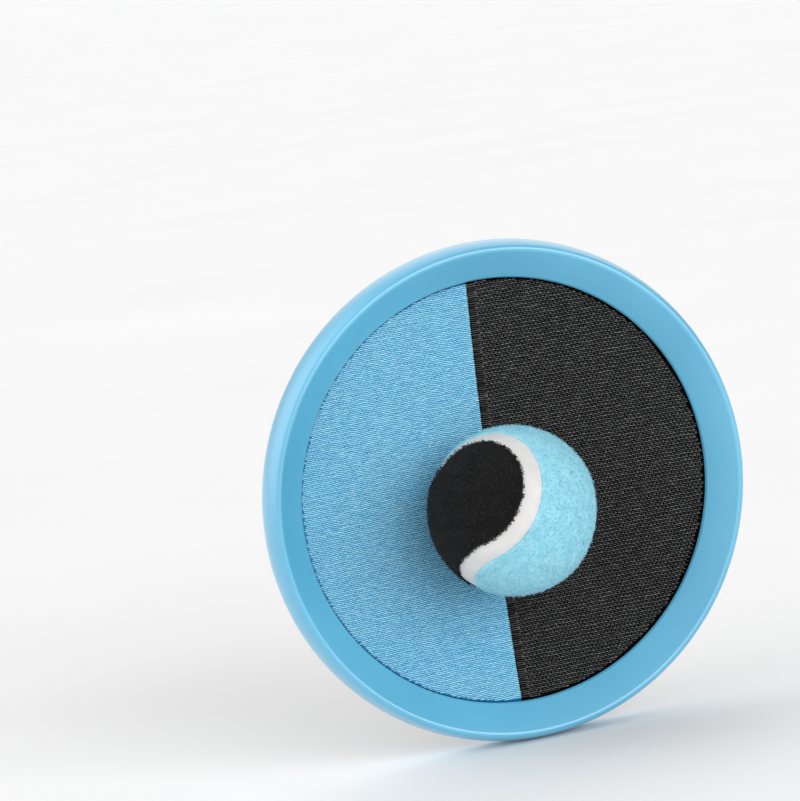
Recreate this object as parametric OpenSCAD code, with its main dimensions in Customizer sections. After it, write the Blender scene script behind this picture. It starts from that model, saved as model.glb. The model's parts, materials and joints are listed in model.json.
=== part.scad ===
// Hook and loop catch paddle with its felt ball held on the catch face
// Units are millimetres: the face looks along -Y, +Z is up, the origin is where the palm rests on the back

/* [Paddle rim] */
// Outer diameter of the rim
paddle_d = 190; // [176:2:210]
// Depth of the rim from its rear edge to its crest
rim_depth = 16; // [15:0.5:19]
// Wall thickness of the moulded rim
rim_wall = 2; // [1.6:0.1:2.3]
// Width of the ring seen from the front
rim_width = 15; // [14:0.5:18]
// Fall of the ring's inner side, in degrees
rim_slope = 38.6; // [36:0.2:44]
// How far the crest lies inside the outer edge
crest_in = 3.6; // [3:0.1:4.2]
// Rounding of the crest
crest_round = 1.8; // [1.2:0.1:2.4]

/* [Catch face] */
// Hollow of the face at its middle, below its edge
face_sag = 4; // [2.5:0.5:5]
// Thickness of the blue loop fabric
blue_fabric_t = 1.2; // [0.8:0.1:1.4]
// Thickness of the black loop fabric
black_fabric_t = 1.5; // [1:0.1:1.7]
// Thickness of the board behind the fabric
board_t = 1.4; // [1:0.1:1.8]
// Thickness of the white foam layer at its middle
foam_t = 1.9; // [1.8:0.1:2.6]
// Open line between the two fabric halves
fabric_gap = 0.4; // [0.2:0.1:1]
// How far left of the middle the black fabric begins
split_left = 4.8; // [0:0.2:8]

/* [Back cover] */
// Wall thickness of the back cover
cover_t = 1.8; // [1.4:0.1:2.2]
// Shadow groove between the back cover and the rim
cover_groove = 0.6; // [0.4:0.1:1]
// Number of snap clips round the cover
clip_count = 8; // [6:1:12]
// Width of the raised hand outline
ridge_w = 2.1; // [1.4:0.1:3]
// Height of the raised hand outline
ridge_h = 0.6; // [0.4:0.1:1]

/* [Strap] */
// Width of the strap tapes
strap_w = 24.5; // [20:0.5:30]
// Thickness of the loop tape
loop_t = 1.5; // [1.2:0.1:1.8]
// Thickness of the hook tape
hook_t = 1.3; // [1:0.1:1.6]
// Thickness of the joined tapes inside the paddle
inner_tape_t = 1.2; // [1:0.1:1.3]
// Clear room for the hand under the strap
hand_room = 26; // [22:1:32]
// Distance of each strap slot from the middle
slot_x = 53; // [50:1:57]
// Width of each strap slot
slot_w = 11; // [10:0.5:13]
// Height of the strap above the paddle's middle
strap_up = 3; // [0:0.5:6]
// Where the hook tape's free end lies past the middle
hook_end_x = 13.8; // [8:0.2:20]
// Where the loop tape's free end lies past the middle
loop_end_x = 10; // [4:0.5:16]

/* [Ball] */
// Diameter of the ball over its felt
ball_d = 63; // [58:0.5:68]
// Thickness of the felt
felt_t = 2.4; // [1.8:0.1:3]
// Wall thickness of the rubber core
core_t = 3.2; // [2.4:0.1:4.5]
// Width of the white seam
seam_w = 6.8; // [5:0.2:8]
// How far the seam lies below the felt
seam_in = 0.7; // [0.4:0.1:1.2]
// Place of the ball across the face
ball_x = -8; // [-12:0.5:12]
// Place of the ball up the face
ball_z = -3; // [-12:0.5:12]

/* [Hidden] */
// Smoothness of ordinary curves and of the very flat domes
$fn = 96;
flat_fn = 256;
// Clearance between fixed pieces, and between pieces that move
fit = 0.15;
run = 0.3;
// Sizes that follow the paddle's diameter
rim_r = paddle_d / 2;
grow = paddle_d / 190;
face_r = rim_r - rim_width;

// Rim profile as radius and forward distance from the rear edge
wide_a = rim_depth * 7 / 16;
crest_rise = rim_depth - wide_a - crest_round;
side_r = (crest_in * crest_in + crest_rise * crest_rise - crest_round * crest_round)
    / (2 * (crest_in - crest_round));
side_c = [rim_r - side_r, wide_a];
crest_c = [rim_r - crest_in, rim_depth - crest_round];
to_crest = (crest_c - side_c) / norm(crest_c - side_c);
past_side = side_c + to_crest * (side_r + 5);
slope_n = [-sin(rim_slope), cos(rim_slope)];
slope_top = crest_c + slope_n * crest_round;
slope_low = slope_top - slope_n * rim_wall;
lip_r = face_r + 0.3;
lip_top = [face_r + 1, slope_top[1] - (slope_top[0] - face_r - 1) * tan(rim_slope)];
lip_t = 1.4;
lip_a = lip_top[1] - lip_t;
lip_back_r = slope_low[0] - (slope_low[1] - lip_a) / tan(rim_slope);
mouth_r = side_c[0] + sqrt(pow(side_r - rim_wall, 2) - wide_a * wide_a);

// Layers of the face: domes that share one centre in front of the paddle
layer_r = lip_back_r - 0.2;
face_R = (face_r * face_r + face_sag * face_sag) / (2 * face_sag);
board_a = lip_a - fit - black_fabric_t - fit - (face_R - sqrt(face_R * face_R - layer_r * layer_r));
dome_c = board_a + face_R;
board_back_a = board_a - board_t;
foam_a = board_back_a - fit;
cover_in_a = foam_a - foam_t - fit;
apex_a = cover_in_a - cover_t;

// Back cover: a dome that starts level with the rim's rear edge
cover_r = mouth_r - cover_groove;
cover_sag = -apex_a;
cover_R = (cover_r * cover_r + cover_sag * cover_sag) / (2 * cover_sag);
cover_c = apex_a + cover_R;
function cover_out(r) = cover_c - sqrt(cover_R * cover_R - r * r);
function cover_in(r) = cover_c - sqrt(pow(cover_R - cover_t, 2) - r * r);
function board_back(r) = dome_c - sqrt(pow(face_R + board_t, 2) - r * r);
support_w = 1.8;
foam_r = layer_r - support_w - 2 * run;
clip_w = 1.8;
clip_a = cover_in(cover_r - clip_w) + 3.2;
clip_nose = cover_groove + 0.7;
clip_turn = 9;
slot_h = strap_w + 2.5;
slot_corner = 1.5;

// Strap: both tapes are arcs round one centre, so that they nest where they overlap
hinge_a = cover_out(slot_x) - 0.4;
loop_rise = hinge_a - apex_a + hand_room + loop_t / 2;
loop_R = (slot_x * slot_x + loop_rise * loop_rise) / (2 * loop_rise);
strap_c = hinge_a - loop_rise + loop_R;
hook_R = loop_R + loop_t / 2 + run + hook_t / 2;
hook_x = sqrt(hook_R * hook_R - pow(strap_c - hinge_a, 2));
hook_corner = 9;
window_end = inner_tape_t / 2 + 2 * run;

// Ball: two felt panels that meet at one winding seam
ball_r = ball_d / 2;
ball_turn = [125.3, -21.9, -150.2];
seam_lean = 9.2;
seam_half = asin(seam_w / ball_d);
lobe = acos(-pow(sin(seam_lean), 2)) / 2;
core_r = ball_r - felt_t - fit;
seam_r = ball_r - seam_in;
cone_h = ball_r * 2;
touch_R = face_R - fit - max(blue_fabric_t, black_fabric_t);
touch_a = dome_c - sqrt(touch_R * touch_R - ball_x * ball_x - ball_z * ball_z);
ball_a = touch_a + run + ball_r;

// Hand outline seen from behind: fingertips, webs and heel as x, y, radius and turn
hand = [
    [26.5, 58.8, 9.2, 1],
    [8.2, 25, 5, -1],
    [-5.8, 63, 10.2, 1],
    [-11, 20.8, 3.5, -1],
    [-30.8, 50, 8, 1],
    [-30, 9, 4, -1],
    [-53.3, 23.8, 6.3, 1],
    [-12, -35, 24, 1],
    [14, -38, 22, 1],
    [57, 22, 7.5, 1],
    [31, 3, 6, -1]
];
arc_step = 12;

// Direction of the straight line from one circle of the outline to the next
function heading(p, q, e) =
    let (d = [q[0] - p[0], q[1] - p[1]], rp = p[2] + p[3] * e, rq = q[2] + q[3] * e)
    atan2(d[1], d[0]) - asin((q[3] * rq - p[3] * rp) / norm(d));
function wrap(x) = x - 360 * floor(x / 360);
// Points of the outline moved outwards by e
function outline(e) = [
    for (i = [0 : len(hand) - 1])
        let (
            n = len(hand),
            c = hand[i],
            from = heading(hand[(i + n - 1) % n], c, e),
            sweep = wrap(c[3] * (heading(c, hand[(i + 1) % n], e) - from)),
            steps = ceil(sweep / arc_step),
            r = c[2] + c[3] * e
        )
        for (k = [0 : steps])
            let (t = from + c[3] * sweep * k / steps)
            [-c[0] - c[3] * r * sin(t), c[1] - c[3] * r * cos(t)] * grow
];

// Places a shape drawn with its front along +Z, so that the front looks along -Y
module upright() {
    rotate([90, 0, 0])
        translate([0, 0, -apex_a])
            children();
}

// One layer between two domes that share a centre, out to a radius
module dome_layer(c, outer, inner, r) {
    rotate_extrude($fn = 180)
        intersection() {
            difference() {
                translate([0, c])
                    circle(r = outer, $fn = flat_fn);
                translate([0, c])
                    circle(r = inner, $fn = flat_fn);
            }
            translate([0, c - outer - 1])
                square([r, outer]);
        }
}

// Solid outline of the rim's section
module rim_shape() {
    translate(crest_c)
        circle(r = crest_round);
    intersection() {
        translate(side_c)
            circle(r = side_r, $fn = 180);
        polygon([crest_c, slope_top, lip_top, [lip_r, lip_a], [lip_r, 0], [rim_r + 6, 0], past_side]);
    }
}

// Hollow of the rim's section, open to the rear
module rim_hollow() {
    intersection() {
        translate(side_c)
            circle(r = side_r - rim_wall, $fn = 180);
        polygon([slope_low, [lip_back_r, lip_a], [lip_r - 1, lip_a], [lip_r - 1, -1],
            [rim_r + 6, -1], [rim_r + 6, slope_low[1]]]);
    }
}

module front_rim() {
    color([0.36, 0.68, 0.83])
        upright()
            rotate_extrude($fn = 240)
                difference() {
                    rim_shape();
                    rim_hollow();
                }
}

// Rounded slot seen from the front
module slot_shape(x) {
    w = slot_w / 2 - slot_corner;
    h = slot_h / 2 - slot_corner;
    translate([x, strap_up]) {
        square([slot_w, 2 * h], center = true);
        square([2 * w, slot_h], center = true);
        for (i = [-1, 1], j = [-1, 1])
            translate([i * w, j * h])
                circle(r = slot_corner, $fn = 32);
    }
}

module slots() {
    for (x = [-slot_x, slot_x])
        translate([0, 0, apex_a - 5])
            linear_extrude(-apex_a + 15)
                slot_shape(x);
}

// Raised line that follows the hand outline over the dome
module hand_ridge() {
    intersection() {
        dome_layer(cover_c, cover_R + ridge_h, cover_R - cover_t / 2, cover_r - 2);
        translate([0, 0, apex_a - 5])
            linear_extrude(-apex_a + 15)
                difference() {
                    polygon(outline(ridge_w / 2));
                    polygon(outline(-ridge_w / 2));
                }
    }
}

// Snap clip whose nose rests behind the rim's turned-in edge
module clip() {
    root = cover_in(cover_r - clip_w) - cover_t / 2;
    rotate([0, 0, -clip_turn / 2])
        rotate_extrude(angle = clip_turn, $fn = 240)
            polygon([[cover_r - 2 * clip_w, root], [cover_r - clip_w / 2, root], [cover_r - clip_w / 2, clip_a - 2.4],
                [cover_r + clip_nose, clip_a - 1.9], [cover_r + clip_nose, clip_a - 1.3],
                [cover_r - clip_w / 2, clip_a], [cover_r - 2 * clip_w, clip_a]]);
}

// Ring that carries the edge of the board
module support_ring() {
    low = cover_in(layer_r - support_w) - cover_t / 2;
    top = board_back(layer_r - support_w) - fit;
    translate([0, 0, low])
        rotate_extrude($fn = 180)
            translate([layer_r - support_w, 0])
                square([support_w, top - low]);
}

module back_cover() {
    color([0.12, 0.12, 0.13])
        upright()
            difference() {
                union() {
                    dome_layer(cover_c, cover_R, cover_R - cover_t, cover_r);
                    hand_ridge();
                    support_ring();
                    for (i = [0 : clip_count - 1])
                        rotate([0, 0, (i + 0.5) * 360 / clip_count])
                            clip();
                }
                slots();
            }
}

module catch_board() {
    color([0.85, 0.85, 0.83])
        upright()
            dome_layer(dome_c, face_R + board_t, face_R, layer_r);
}

module foam_core() {
    color([0.95, 0.95, 0.94])
        upright()
            difference() {
                rotate_extrude($fn = 180)
                    intersection() {
                        translate([0, cover_c])
                            circle(r = cover_R - cover_t - fit, $fn = flat_fn);
                        difference() {
                            translate([0, dome_c - 2 * face_R])
                                square([foam_r, 2 * face_R]);
                            translate([0, dome_c])
                                circle(r = face_R + board_t + fit, $fn = flat_fn);
                        }
                        translate([0, apex_a - 1])
                            square([foam_r, rim_depth]);
                    }
                translate([-hook_x - window_end, strap_up - strap_w / 2 - 2 * run, -rim_depth])
                    cube([hook_x + slot_x + 2 * window_end, strap_w + 4 * run, rim_depth * 2]);
            }
}

// Half of the fabric on the face: side is -1 for the left and 1 for the right
module catch_panel(side, t) {
    upright()
        intersection() {
            dome_layer(dome_c, face_R - fit, face_R - fit - t, layer_r);
            translate([side * (rim_r + fabric_gap / 2) - split_left, 0, 0])
                cube([paddle_d, paddle_d, rim_depth * 4], center = true);
        }
}

module blue_catch_panel() {
    color([0.5, 0.77, 0.9])
        catch_panel(-1, blue_fabric_t);
}

module black_catch_panel() {
    color([0.14, 0.14, 0.16])
        catch_panel(1, black_fabric_t);
}

// Shape drawn across the paddle as x and forward distance, made as wide as the strap
module tape(w) {
    upright()
        translate([0, strap_up, 0])
            rotate([90, 0, 0])
                linear_extrude(w, center = true)
                    children();
}

// Curved tape from its hinge at x0 to its free end at x1, both measured across the paddle
module tape_arc(r, t, x0, x1) {
    a0 = atan2(hinge_a - strap_c, x0);
    a1 = -90 + asin(x1 / r);
    far = 2 * r;
    intersection() {
        difference() {
            translate([0, strap_c])
                circle(r = r + t / 2, $fn = 180);
            translate([0, strap_c])
                circle(r = r - t / 2, $fn = 180);
        }
        translate([0, strap_c])
            polygon([[0, 0], far * [cos(a0), sin(a0)], far * [cos((a0 + a1) / 2), sin((a0 + a1) / 2)],
                far * [cos(a1), sin(a1)]]);
    }
    translate([x0, hinge_a])
        circle(r = t / 2, $fn = 32);
}

// Joined tapes inside the paddle, turned up into both slots
module strap_inner_run() {
    reach = loop_t / 2 + run;
    half_w = inner_tape_t / 2;
    color([0.1, 0.1, 0.11])
        tape(strap_w) {
            intersection() {
                translate([0, cover_c])
                    difference() {
                        circle(r = cover_R - cover_t - run / 2 - fit, $fn = flat_fn);
                        circle(r = cover_R - cover_t - run / 2 - fit - inner_tape_t, $fn = flat_fn);
                    }
                translate([-hook_x - half_w, apex_a])
                    square([slot_x + hook_x + 2 * half_w, rim_depth]);
            }
            for (x = [-hook_x, slot_x])
                translate([x - half_w, hinge_a + reach])
                    square([2 * half_w, cover_in(abs(x)) + run / 2 + fit + half_w - hinge_a - reach]);
        }
}

module loop_strap() {
    color([0.07, 0.07, 0.08])
        tape(strap_w)
            tape_arc(loop_R, loop_t, slot_x, -loop_end_x);
}

// Hook tape, with the corners of its free end rounded
module hook_tab() {
    half = strap_w / 2;
    reach = hook_x + hook_t;
    color([0.13, 0.13, 0.14])
        intersection() {
            tape(strap_w + 2)
                tape_arc(hook_R, hook_t, -hook_x, hook_end_x + 2);
            upright()
                translate([0, strap_up, apex_a - 2 * hand_room])
                    linear_extrude(4 * hand_room) {
                        translate([-reach, -half])
                            square([reach + hook_end_x - hook_corner, strap_w]);
                        translate([-reach, hook_corner - half])
                            square([reach + hook_end_x, strap_w - 2 * hook_corner]);
                        for (j = [-1, 1])
                            translate([hook_end_x - hook_corner, j * (half - hook_corner)])
                                circle(r = hook_corner);
                    }
        }
}

// Puts the ball on the face with its seam turned as it lies there
module ball_place() {
    translate([ball_x, apex_a - ball_a, ball_z])
        rotate(ball_turn)
            children();
}

module shell(outer, inner) {
    difference() {
        sphere(r = outer, $fn = 120);
        sphere(r = inner, $fn = 120);
    }
}

// Pair of opposite cones from the ball's middle, with the lean of the seam
module cones(half, axis, lean) {
    for (s = [-1, 1])
        rotate([0, 0, axis])
            rotate([0, s * 90 + s * lean, 0])
                cylinder(r1 = 0, r2 = cone_h * tan(half), h = cone_h, $fn = 120);
}

// Space of one panel on the upper side of the ball, bounded by a seam that is moved by e degrees
module panel_space(e) {
    wide = lobe + e;
    narrow = acos(sqrt(pow(cos(seam_lean), 2) - pow(cos(wide), 2)));
    difference() {
        translate([-ball_d, -ball_d, 0])
            cube([2 * ball_d, 2 * ball_d, ball_d]);
        cones(wide, 90, -seam_lean);
    }
    intersection() {
        translate([-ball_d, -ball_d, -ball_d])
            cube([2 * ball_d, 2 * ball_d, ball_d]);
        cones(narrow, 0, seam_lean);
    }
}

// Space of the other panel: the same shape turned over
module other_panel_space(e) {
    rotate([180, 0, 90])
        panel_space(e);
}

module ball_core() {
    color([0.25, 0.25, 0.26])
        ball_place()
            shell(core_r, core_r - core_t);
}

module ball_felt_black() {
    color([0.18, 0.18, 0.19])
        ball_place()
            intersection() {
                shell(ball_r, ball_r - felt_t);
                panel_space(seam_half);
            }
}

module ball_felt_blue() {
    color([0.57, 0.83, 0.91])
        ball_place()
            intersection() {
                shell(ball_r, ball_r - felt_t);
                other_panel_space(seam_half);
            }
}

module ball_seam() {
    clear = asin(2 * fit / ball_d);
    color([0.93, 0.93, 0.93])
        ball_place()
            difference() {
                shell(seam_r, ball_r - felt_t);
                panel_space(seam_half - clear);
                other_panel_space(seam_half - clear);
            }
}

front_rim();
back_cover();
catch_board();
foam_core();
blue_catch_panel();
black_catch_panel();
strap_inner_run();
loop_strap();
hook_tab();
ball_core();
ball_felt_black();
ball_felt_blue();
ball_seam();
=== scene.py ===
# %% [markdown]
# # A catch paddle and its ball
# The toy is a round dish with a soft loop face on the front and a hand strap on the back.
# A felt ball sticks to the face until it is pulled off.
# The CAD model gives every size and joint; this lesson adds the yarn, the felt, the grain and the light.

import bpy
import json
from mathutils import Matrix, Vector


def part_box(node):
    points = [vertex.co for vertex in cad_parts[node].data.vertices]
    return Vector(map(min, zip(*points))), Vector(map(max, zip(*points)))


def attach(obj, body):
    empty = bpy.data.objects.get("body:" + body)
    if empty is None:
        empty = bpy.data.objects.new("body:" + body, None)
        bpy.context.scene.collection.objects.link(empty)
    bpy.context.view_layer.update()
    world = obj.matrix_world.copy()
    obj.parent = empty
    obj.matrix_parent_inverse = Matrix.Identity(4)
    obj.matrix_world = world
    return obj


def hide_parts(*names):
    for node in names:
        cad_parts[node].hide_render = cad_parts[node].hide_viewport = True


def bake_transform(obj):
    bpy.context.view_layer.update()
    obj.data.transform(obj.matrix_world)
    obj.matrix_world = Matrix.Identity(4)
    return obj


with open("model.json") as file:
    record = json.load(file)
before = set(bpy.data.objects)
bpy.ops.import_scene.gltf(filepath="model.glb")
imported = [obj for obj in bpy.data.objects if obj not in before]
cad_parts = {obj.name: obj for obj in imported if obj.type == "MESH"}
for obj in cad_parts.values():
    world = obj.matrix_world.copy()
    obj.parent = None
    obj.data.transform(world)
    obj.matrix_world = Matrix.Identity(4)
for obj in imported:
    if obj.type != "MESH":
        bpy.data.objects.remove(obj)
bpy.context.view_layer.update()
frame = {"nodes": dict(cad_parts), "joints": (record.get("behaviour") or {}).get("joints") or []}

import json
import math

import bmesh
import bpy
from mathutils import Euler, Matrix, Vector

# %% [markdown]
# ## Sizes
# All lengths are in metres, so a millimetre gets a name.
# What the frame can tell is read from it: the rim's box gives its radius and its rear edge,
# and the joints give the two places where the strap bends.

# %% Sizes that several pieces share
MM = 0.001
rim_low, rim_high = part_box("front_rim")
RIM_R = rim_high.x
REAR_Y = rim_high.y
joint_places = {joint["name"]: Vector(joint["pos_m"]) for joint in frame["joints"] if "pos_m" in joint}
LOOP_HINGE = joint_places["loop_strap_lift"]
HOOK_HINGE = joint_places["hook_tab_peel"]


def forward(distance):
    """Y of a point that lies this far in front of the rim's rear edge."""
    return REAR_Y - distance


print("rim radius", round(RIM_R, 4), "rear edge at", round(REAR_Y, 5))

# %% [markdown]
# ## The camera
# A product photograph like this is taken from well back with a long lens, so circles stay nearly true.
# The camera stands a little left of the paddle and a little above it, and it is rolled,
# because the paddle leans in the picture. Right, up and back are worked out and put into one matrix.

# %% Camera at the photograph's angle
AZIMUTH = math.radians(-16.913)
ELEVATION = math.radians(7.345)
ROLL = math.radians(7.856)
CAMERA_DISTANCE = 1.2358
CAMERA_AIM = Vector((-0.03789, -0.015, 0.04137))
LENS = 150.0

back = Vector((math.sin(AZIMUTH) * math.cos(ELEVATION), -math.cos(AZIMUTH) * math.cos(ELEVATION),
               math.sin(ELEVATION)))
level = Vector((math.cos(AZIMUTH), math.sin(AZIMUTH), 0.0))
upright = back.cross(level)
right = level * math.cos(ROLL) - upright * math.sin(ROLL)
up = level * math.sin(ROLL) + upright * math.cos(ROLL)

camera_data = bpy.data.cameras.new("studio_camera")
camera_data.lens = LENS
camera_data.sensor_fit = "HORIZONTAL"
camera_data.clip_end = 300.0
camera = bpy.data.objects.new("studio_camera", camera_data)
bpy.context.collection.objects.link(camera)
turn = Matrix((right, up, back)).transposed().to_4x4()
camera.matrix_world = Matrix.Translation(CAMERA_AIM + back * CAMERA_DISTANCE) @ turn
bpy.context.scene.camera = camera
print("camera at", [round(v, 3) for v in camera.matrix_world.translation])

# %% [markdown]
# ## Wiring nodes from a script
# Materials and Geometry Nodes are both trees of nodes. One small function adds a node,
# sets its options, fills its inputs with numbers or with another node's output, and hands back one output.
# A few named shortcuts on top of it keep each material short enough to read.

# %% Helpers for node trees
def wire(tree, kind, inputs=None, out=0, **options):
    """Adds a node to the tree and returns one of its outputs."""
    made = tree.nodes.new(kind)
    for name, value in options.items():
        setattr(made, name, value)
    for key, value in (inputs or {}).items():
        if isinstance(value, bpy.types.NodeSocket):
            tree.links.new(value, made.inputs[key])
        else:
            made.inputs[key].default_value = value
    return made.outputs[out]


def maths(tree, operation, first, second=0.0):
    return wire(tree, "ShaderNodeMath", {0: first, 1: second}, operation=operation)


def noise(tree, place, scale, detail=2.0, roughness=0.5):
    """Cloudy values from 0 to 1; scale is how many lumps fit in a metre."""
    return wire(tree, "ShaderNodeTexNoise",
                {"Vector": place, "Scale": scale, "Detail": detail, "Roughness": roughness}, out="Fac")


def colour(red, green, blue):
    """A colour given as on a screen, 0 to 255, turned into the linear values that shaders use."""
    parts = [part / 255 for part in (red, green, blue)]
    linear = [p / 12.92 if p <= 0.04045 else ((p + 0.055) / 1.055) ** 2.4 for p in parts]
    return (*linear, 1.0)


def ramp(tree, value, stops):
    """Colours along a value, given as pairs of position and screen colour."""
    made = tree.nodes.new("ShaderNodeValToRGB")
    elements = made.color_ramp.elements
    while len(elements) < len(stops):
        elements.new(1.0)
    for element, (position, shade) in zip(elements, stops):
        element.position = position
        element.color = colour(*shade)
    tree.links.new(value, made.inputs["Fac"])
    return made.outputs["Color"]


def spread(tree, value, low, high):
    """Stretches a value from 0..1 to low..high."""
    return wire(tree, "ShaderNodeMapRange", {"Value": value, "To Min": low, "To Max": high})


def bump(tree, height, strength, depth):
    return wire(tree, "ShaderNodeBump", {"Height": height, "Strength": strength, "Distance": depth})


# %% Helpers for finishes
def new_finish(name, **constants):
    """A material with one shader; constants are set on the shader's own sockets."""
    material = bpy.data.materials.new(name)
    material.use_nodes = True
    tree = material.node_tree
    shader = tree.nodes["Principled BSDF"]
    for words, value in constants.items():
        shader.inputs[SHADER_SOCKETS[words]].default_value = value
    place = wire(tree, "ShaderNodeTexCoord", out="Object")
    return material, tree, shader, place


SHADER_SOCKETS = {
    "roughness": "Roughness",
    "specular": "Specular IOR Level",
    "coat": "Coat Weight",
    "coat_roughness": "Coat Roughness",
    "coat_ior": "Coat IOR",
    "sheen": "Sheen Weight",
    "sheen_roughness": "Sheen Roughness",
}


def feed(tree, shader, **links):
    """Joins outputs to the shader's colour, roughness or normal."""
    names = {"shade": "Base Color", "roughness": "Roughness", "normal": "Normal"}
    for words, output in links.items():
        tree.links.new(output, shader.inputs[names[words]])


print("node helpers ready")

# %% [markdown]
# ## Building meshes
# Most solid pieces here are rings of points joined by quads: a rim is one section turned round the axis,
# and a tape is one section carried along a path. So one function skins a row of sections.
# It also lays a UV map in metres, which lets a weave follow a bent tape.

# %% Helpers for meshes
def rounded(corners, steps=5):
    """Points of an outline whose corners (x, y, radius) are replaced by arcs."""
    points = []
    for i, (x, y, radius) in enumerate(corners):
        here = Vector((x, y))
        if radius == 0:
            points.append(here)
            continue
        before = (Vector(corners[i - 1][:2]) - here).normalized()
        after = (Vector(corners[(i + 1) % len(corners)][:2]) - here).normalized()
        half = before.angle(after) / 2
        centre = here + (before + after).normalized() * (radius / math.sin(half))
        first = (here + before * (radius / math.tan(half)) - centre).normalized()
        last = (here + after * (radius / math.tan(half)) - centre).normalized()
        points += [centre + first.slerp(last, k / steps) * radius for k in range(steps + 1)]
    return points


def arc(centre, radius, start, end, steps):
    """Points (x, y) on a circle between two angles."""
    turns = [start + (end - start) * k / steps for k in range(steps + 1)]
    return [(centre[0] + radius * math.cos(t), centre[1] + radius * math.sin(t)) for t in turns]


def lengths(points):
    """Distance of each point from the first one, along the line through them."""
    total = [0.0]
    for a, b in zip(points, points[1:]):
        total.append(total[-1] + (Vector(b) - Vector(a)).length)
    return total


def skin(name, sections, closed, sharp_angle=40):
    """A mesh through rings of points: joined round to the first ring, or capped at both ends."""
    shape = bmesh.new()
    sheet = shape.loops.layers.uv.new("UVMap")
    rings = [[shape.verts.new(point) for point in section] for section in sections]
    count = len(rings[0])
    along = lengths([section[0] for section in sections] + [sections[0][0]])
    around = lengths(list(sections[len(sections) // 2]) + [sections[len(sections) // 2][0]])
    for i in range(len(rings) if closed else len(rings) - 1):
        nearer, further = rings[i], rings[(i + 1) % len(rings)]
        for j in range(count):
            n = (j + 1) % count
            face = shape.faces.new((nearer[j], further[j], further[n], nearer[n]))
            corners = ((i, j), (i + 1, j), (i + 1, j + 1), (i, j + 1))
            for loop, (a, b) in zip(face.loops, corners):
                loop[sheet].uv = (along[a], around[b])
    if not closed:
        shape.faces.new(rings[0])
        shape.faces.new(rings[-1])
    return finish_mesh(name, shape, sharp_angle)


def finish_mesh(name, shape, sharp_angle=40):
    """Closes a bmesh, turns its faces outwards and returns it as a smooth mesh."""
    bmesh.ops.remove_doubles(shape, verts=shape.verts, dist=1e-8)
    bmesh.ops.recalc_face_normals(shape, faces=shape.faces)
    for face in shape.faces:
        face.smooth = True
    mesh = bpy.data.meshes.new(name)
    shape.to_mesh(mesh)
    shape.free()
    mesh.set_sharp_from_angle(angle=math.radians(sharp_angle))
    return mesh


def show(name, mesh, finish, body=None):
    """Puts a mesh in the scene with its finish; a body makes it ride there at once."""
    piece = bpy.data.objects.new(name, mesh)
    bpy.context.collection.objects.link(piece)
    mesh.materials.clear()
    mesh.materials.append(finish)
    if body:
        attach(piece, body)
    mesh.calc_loop_triangles()
    print(name, len(mesh.loop_triangles), "triangles")
    return piece


def dress_node(node, finish):
    """Gives its finish to a CAD node that stays as it is."""
    materials = frame["nodes"][node].data.materials
    materials.clear()
    materials.append(finish)


# %% [markdown]
# ## The rim
# The rim is one glossy moulding: a rounded outer wall, a crest that catches a thin line of light,
# and a slope that falls to the fabric. A lathe section turned in many steps keeps that line of light smooth,
# which the coarser CAD mesh can't. The section repeats the CAD's arcs and adds small rounds at the edges.

# %% Rim section and its turning
SIDE_R = 17.1 * MM
SIDE_C = (RIM_R - SIDE_R, 7.0 * MM)
CREST_ROUND = 1.8 * MM
CREST_C = (RIM_R - 3.6 * MM, 14.2 * MM)
SLOPE = math.radians(38.6)
RIM_WALL = 2.0 * MM
LIP_TOP = (81.0 * MM, 8.2 * MM)
LIP_R = 80.3 * MM
LIP_BACK = 6.8 * MM
LIP_SEAT_R = 82.45 * MM
REAR_ROUND = 0.5 * MM
LIP_ROUND = 0.7 * MM
EDGE_ROUND = 0.4 * MM
RIM_STEPS = 288

crest_angle = math.atan2(CREST_C[1] - SIDE_C[1], CREST_C[0] - SIDE_C[0])
foot_angle = math.asin(-SIDE_C[1] / SIDE_R)
inner_r = SIDE_R - RIM_WALL
inner_foot = math.asin(-SIDE_C[1] / inner_r)
outer_wall = arc(SIDE_C, SIDE_R, foot_angle, crest_angle, 16)
crest = arc(CREST_C, CREST_ROUND, crest_angle, math.pi / 2 + SLOPE, 12)
inner_wall = arc(SIDE_C, inner_r, crest_angle - math.radians(1), inner_foot, 12)

corners = [(*outer_wall[0], REAR_ROUND)]
corners += [(r, a, 0) for r, a in outer_wall[2:] + crest[1:]]
corners += [(*LIP_TOP, LIP_ROUND), (LIP_R, LIP_BACK, EDGE_ROUND), (LIP_SEAT_R, LIP_BACK, 0)]
corners += [(r, a, 0) for r, a in inner_wall[:-2]]
corners += [(*inner_wall[-1], EDGE_ROUND)]
rim_section = rounded(corners)


def turned(section, steps):
    """A section of radius and forward distance, turned round the paddle's axis."""
    angles = [2 * math.pi * k / steps for k in range(steps)]
    return [[(r * math.cos(t), forward(a), r * math.sin(t)) for r, a in section] for t in angles]


rim_mesh = skin("rim_ring", turned(rim_section, RIM_STEPS), closed=True, sharp_angle=60)

# %% [markdown]
# The finish is gloss plastic. Real mouldings are never one flat colour: the tone drifts slowly,
# the gloss is uneven, and a faint ripple bends the reflections. Three noises at three scales do that.

# %% Gloss blue plastic
gloss_blue, tree, shader, place = new_finish("gloss_blue", coat=1.0, coat_roughness=0.3, coat_ior=1.6)
drift = noise(tree, place, 14.0)
tone = ramp(tree, drift, [(0.3, (77, 163, 198)), (0.7, (89, 175, 209))])
gloss = spread(tree, noise(tree, place, 260.0), 0.34, 0.46)
ripple = bump(tree, noise(tree, place, 420.0, 3.0), 0.035, 0.4 * MM)
feed(tree, shader, shade=tone, roughness=gloss, normal=ripple)

rim = show("rim_ring", rim_mesh, gloss_blue, "paddle")
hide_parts("front_rim")

# %% [markdown]
# ## The dish
# The face is a shallow dish, a piece of a very large sphere. The board's rear is the only part of it
# that the frame gives directly, so the sphere's centre follows from that and from the layers' thicknesses.

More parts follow.
